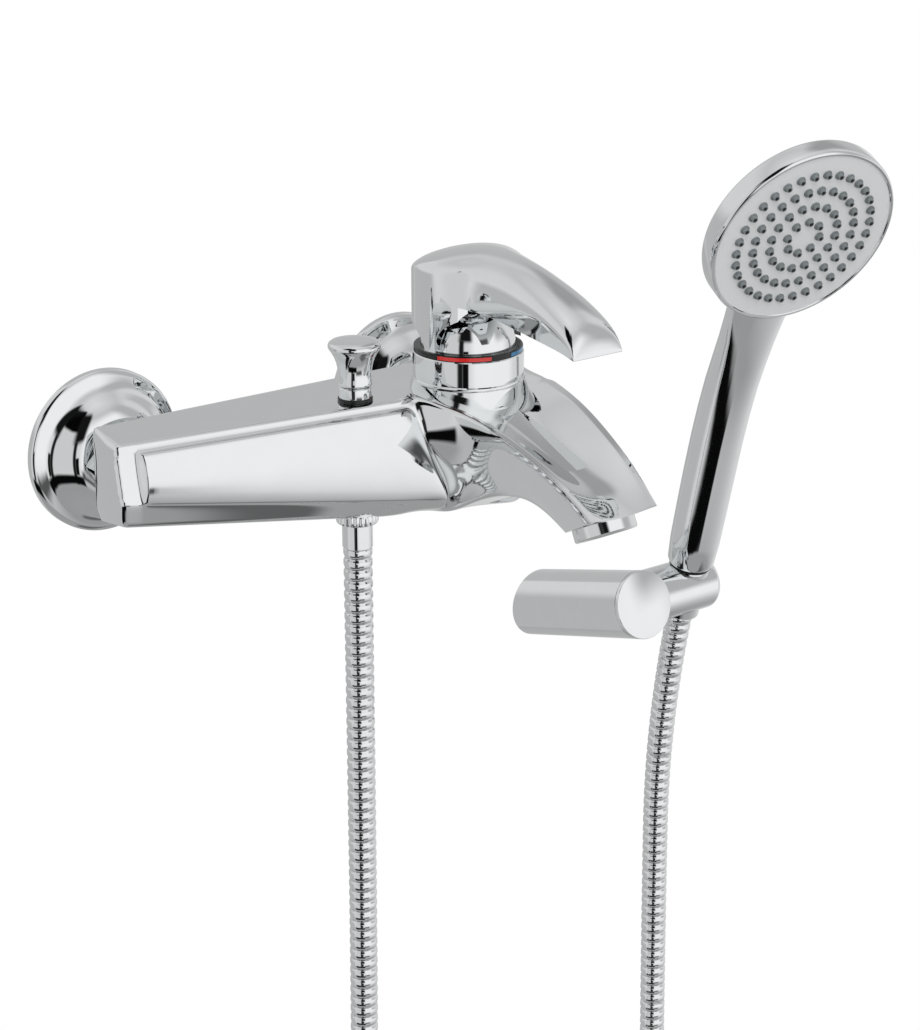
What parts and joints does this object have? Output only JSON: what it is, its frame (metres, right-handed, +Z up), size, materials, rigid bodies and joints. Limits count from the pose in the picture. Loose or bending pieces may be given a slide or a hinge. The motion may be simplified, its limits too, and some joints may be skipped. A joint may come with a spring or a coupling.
{
  "type": "bath mixer",
  "caption": "Wall-mounted single-lever bath mixer: tapering bar with railed spout, pull-up diverter, hand shower on a hose and a round wall holder.",
  "frame": {"origin": "on the finished wall, midway between the two supply inlets", "axes": "-Y out of the wall into the room, +Z up, +X to the right as one faces the wall"},
  "size_m": [0.3468, 0.1901, 0.7743],
  "materials": {
    "chrome": "polished plating on brass",
    "plated_plastic": "chrome-plated plastic",
    "satin_chrome": "satin",
    "brass": "turned",
    "steel": "turned",
    "hose_steel": "interlocked chromed strip over a rubber tube",
    "rubber": "matt",
    "grey_rubber": "matt",
    "black_plastic": "gloss",
    "white_plastic": "moulded",
    "ceramic": "lapped",
    "red_paint": "gloss",
    "blue_paint": "gloss"
  },
  "bodies": {
    "mixer": {"mixer_body": "chrome", "rosette_left": "chrome", "rosette_right": "chrome", "inlet_union_left": "brass", "inlet_union_right": "brass", "union_nut_left": "chrome", "union_nut_right": "chrome", "union_washer_left": "rubber", "union_washer_right": "rubber", "inlet_tail_left": "brass", "inlet_tail_right": "brass", "check_valve_left": "white_plastic", "check_valve_right": "white_plastic", "base_seal": "rubber", "cartridge_housing": "white_plastic", "fixed_disc": "ceramic", "cartridge_nut": "brass", "neck_sleeve": "chrome", "temperature_ring": "black_plastic", "red_mark": "red_paint", "blue_mark": "blue_paint", "domed_cap": "chrome", "diverter_gland": "chrome", "diverter_ring": "black_plastic", "diverter_seat": "brass", "aerator_housing": "chrome", "aerator_insert": "white_plastic", "aerator_washer": "rubber", "hose_nut": "chrome", "hose_washer": "rubber", "shower_hose": "hose_steel", "wall_anchor": "white_plastic", "wall_screws": "steel", "bracket_barrel": "chrome", "bracket_cap": "chrome", "barrel_grub_screw": "steel", "arm_axle": "steel", "friction_washer": "black_plastic"},
    "cartridge": {"cartridge_turret": "white_plastic", "stem_pin": "steel"},
    "disc": {"moving_disc": "ceramic"},
    "lever": {"lever_stem": "steel", "lever_handle": "chrome", "lever_set_screw": "steel", "lever_plug": "chrome"},
    "diverter": {"diverter_knob": "chrome", "diverter_rod": "steel", "diverter_plug": "rubber"},
    "holder": {"swivel_arm": "chrome"},
    "hose_end": {"cone_nut": "chrome", "cone_washer": "rubber"},
    "hand_shower": {"shower_shell": "plated_plastic", "shower_rim": "plated_plastic", "spray_plate": "satin_chrome", "spray_nozzles": "grey_rubber", "shower_nipple": "chrome", "shower_ring": "black_plastic"}
  },
  "joints": [
    {"name": "lever_turn", "type": "hinge", "parent": "mixer", "child": "cartridge", "pos_m": [0.071, -0.0588, 0.022], "axis": [0, 0, 1], "range_deg": [-45, 45]},
    {"name": "lever_lift", "type": "hinge", "parent": "cartridge", "child": "lever", "pos_m": [0.071, -0.0588, 0.022], "axis": [-1, 0, 0], "range_deg": [0, 22]},
    {"name": "disc_slide", "type": "slide", "parent": "cartridge", "child": "disc", "axis": [0, -1, 0], "range_m": [0, 0.0055]},
    {"name": "diverter_pull", "type": "slide", "parent": "mixer", "child": "diverter", "axis": [0, 0, 1], "range_m": [0, 0.005]},
    {"name": "arm_tilt", "type": "hinge", "parent": "mixer", "child": "holder", "pos_m": [0.1592, -0.06155, -0.10587], "axis": [1, 0, 0], "range_deg": [-30, 30], "deforming": ["shower_hose"]},
    {"name": "shower_lift", "type": "slide", "parent": "holder", "child": "hose_end", "axis": [0, -0.2215, 0.9751], "range_m": [0, 0.06]},
    {"name": "shower_turn", "type": "hinge", "parent": "hose_end", "child": "hand_shower", "pos_m": [0.1987, -0.06155, -0.10587], "axis": [0, -0.2215, 0.9751], "range_deg": [-45, 45]}
  ],
  "couplings": [
    {"joint": "disc_slide", "follows": "lever_lift", "m_per_rad": 0.013715}
  ]
}
